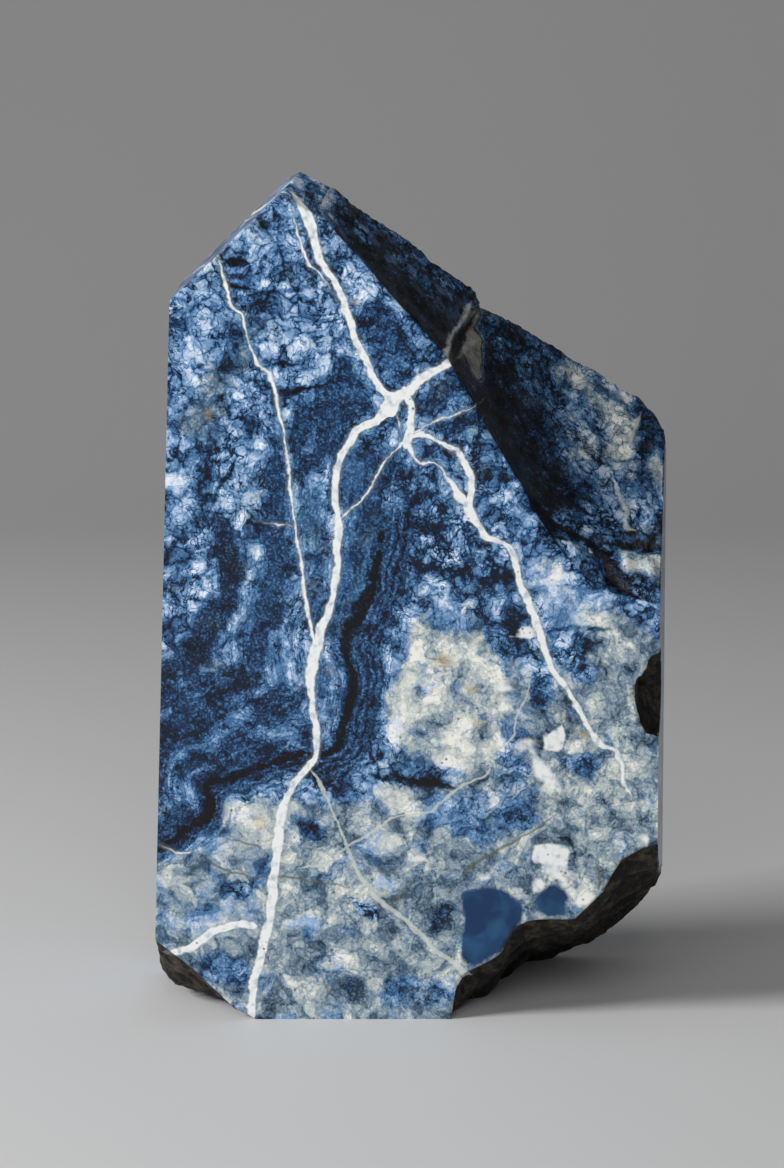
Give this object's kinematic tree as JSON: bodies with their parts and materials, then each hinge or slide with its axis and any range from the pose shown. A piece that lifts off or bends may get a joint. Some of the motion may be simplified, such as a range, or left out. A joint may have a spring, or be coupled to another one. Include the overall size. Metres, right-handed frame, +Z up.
{
  "type": "sodalite specimen",
  "caption": "Standing polished slab of banded blue sodalite with white veins, a pointed top, a scooped natural break at the upper right and a flat base to rest on.",
  "frame": {"origin": "middle of the bounding box's bottom, on the floor plane under the stone", "axes": "+Z up, +Y from the polished front towards the back, +X to the right as seen from the front"},
  "size_m": [0.0642, 0.032, 0.1026],
  "materials": {
    "sodalite": "polished, with rough natural breaks"
  },
  "bodies": {
    "root": {"sodalite": "sodalite"}
  },
  "joints": []
}
